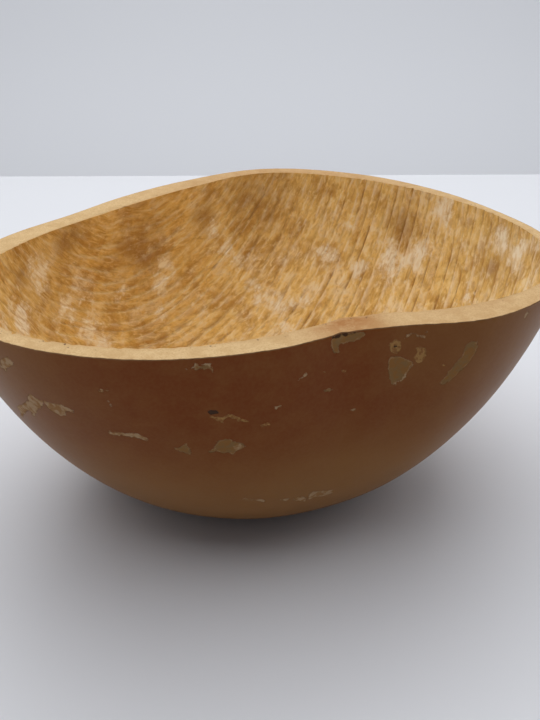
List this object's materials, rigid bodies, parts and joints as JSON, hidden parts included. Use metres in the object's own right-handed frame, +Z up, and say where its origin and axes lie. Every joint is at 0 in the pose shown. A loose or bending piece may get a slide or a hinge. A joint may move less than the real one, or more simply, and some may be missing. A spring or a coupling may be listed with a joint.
{
  "type": "dried bottle gourd half, kept as an open bowl",
  "caption": "Half of a dried bottle gourd kept as an open bowl, with a smooth brown skin, a flat pale cut rim and a scraped tan inside.",
  "frame": {"origin": "middle of the bounding box at the height of the flat spot that the bowl rests on", "axes": "+X along the widest span of the rim, +Z up out of the open side, +Y across; the stem end lies between -X and +Y, the blossom end between +X and -Y"},
  "size_m": [0.2206, 0.2138, 0.1],
  "materials": {
    "dried_gourd": "smooth satin brown skin outside, matte pale cut rim, matte tan scraped inside"
  },
  "bodies": {
    "root": {"gourd_shell": "dried_gourd"}
  },
  "joints": []
}
